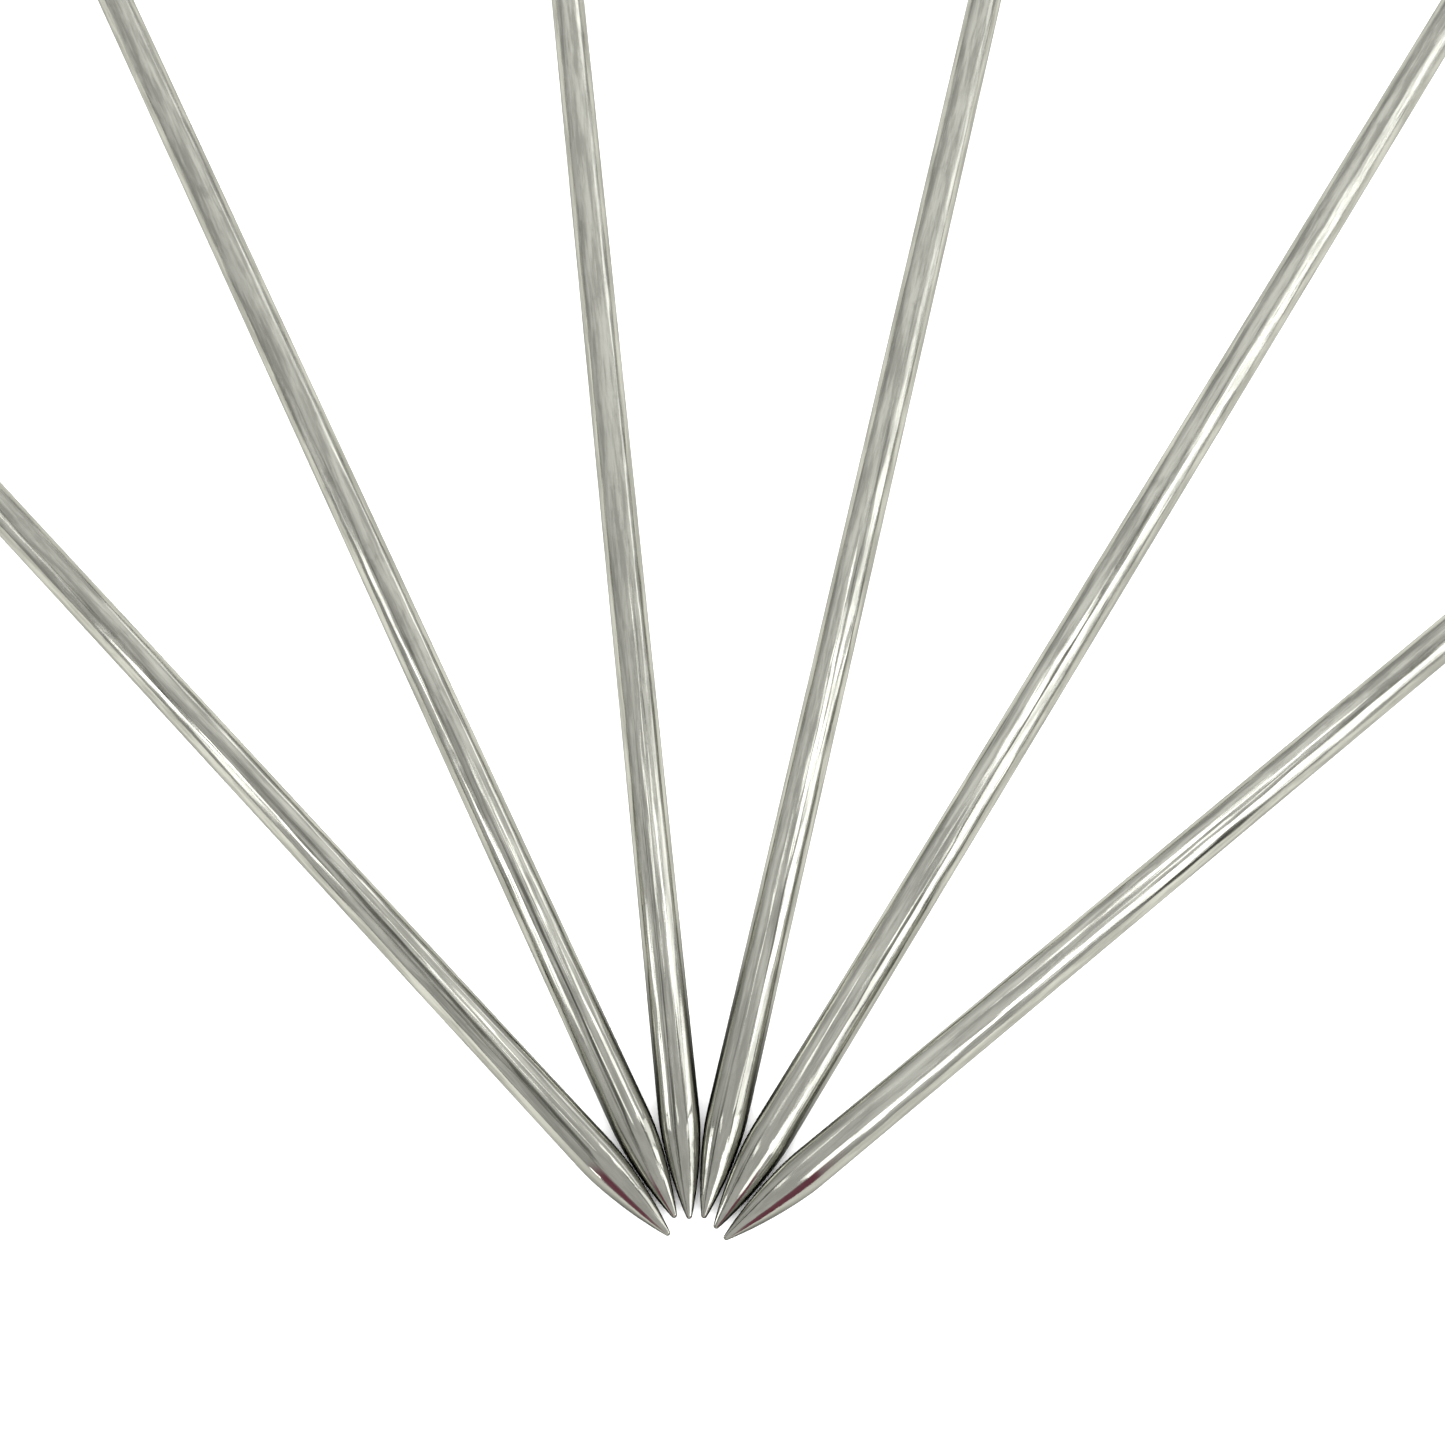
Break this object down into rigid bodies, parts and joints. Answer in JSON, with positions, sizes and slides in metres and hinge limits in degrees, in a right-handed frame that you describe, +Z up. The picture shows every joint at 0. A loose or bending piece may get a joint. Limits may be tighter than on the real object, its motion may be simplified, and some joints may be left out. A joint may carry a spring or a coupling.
{
  "type": "straight knitting needles",
  "caption": "Polished metal knitting needles, each a straight round shaft with a long tapered point and a flat round head, laid out in a fan with the points together.",
  "frame": {"origin": "under the middle of the whole fan's box, on the table that the needles lie on", "axes": "+Z up; the points are together at -Y and the needles spread towards +Y; the fan is widest along X"},
  "size_m": [0.5138, 0.3518, 0.012],
  "materials": {
    "shaft": "polished nickel plating with fine lengthwise scratches and a slightly hazy, mottled surface",
    "point": "polished nickel plating, turned and buffed to a mirror",
    "plug": "turned steel",
    "head": "drawn and polished nickel-plated sheet"
  },
  "bodies": {
    "needle_1": {"shaft_1": "shaft", "point_1": "point", "end_plug_1": "plug", "head_1": "head"},
    "needle_2": {"shaft_2": "shaft", "point_2": "point", "end_plug_2": "plug", "head_2": "head"},
    "needle_3": {"shaft_3": "shaft", "point_3": "point", "end_plug_3": "plug", "head_3": "head"},
    "needle_4": {"shaft_4": "shaft", "point_4": "point", "end_plug_4": "plug", "head_4": "head"},
    "needle_5": {"shaft_5": "shaft", "point_5": "point", "end_plug_5": "plug", "head_5": "head"},
    "needle_6": {"shaft_6": "shaft", "point_6": "point", "end_plug_6": "plug", "head_6": "head"}
  },
  "joints": [
    {"name": "lift_1", "type": "slide", "parent": "needle_3", "child": "needle_1", "axis": [0, 0, 1], "range_m": [0, 0.12]},
    {"name": "lift_2", "type": "slide", "parent": "needle_3", "child": "needle_2", "axis": [0, 0, 1], "range_m": [0, 0.12]},
    {"name": "lift_4", "type": "slide", "parent": "needle_3", "child": "needle_4", "axis": [0, 0, 1], "range_m": [0, 0.12]},
    {"name": "lift_5", "type": "slide", "parent": "needle_3", "child": "needle_5", "axis": [0, 0, 1], "range_m": [0, 0.12]},
    {"name": "lift_6", "type": "slide", "parent": "needle_3", "child": "needle_6", "axis": [0, 0, 1], "range_m": [0, 0.12]}
  ]
}
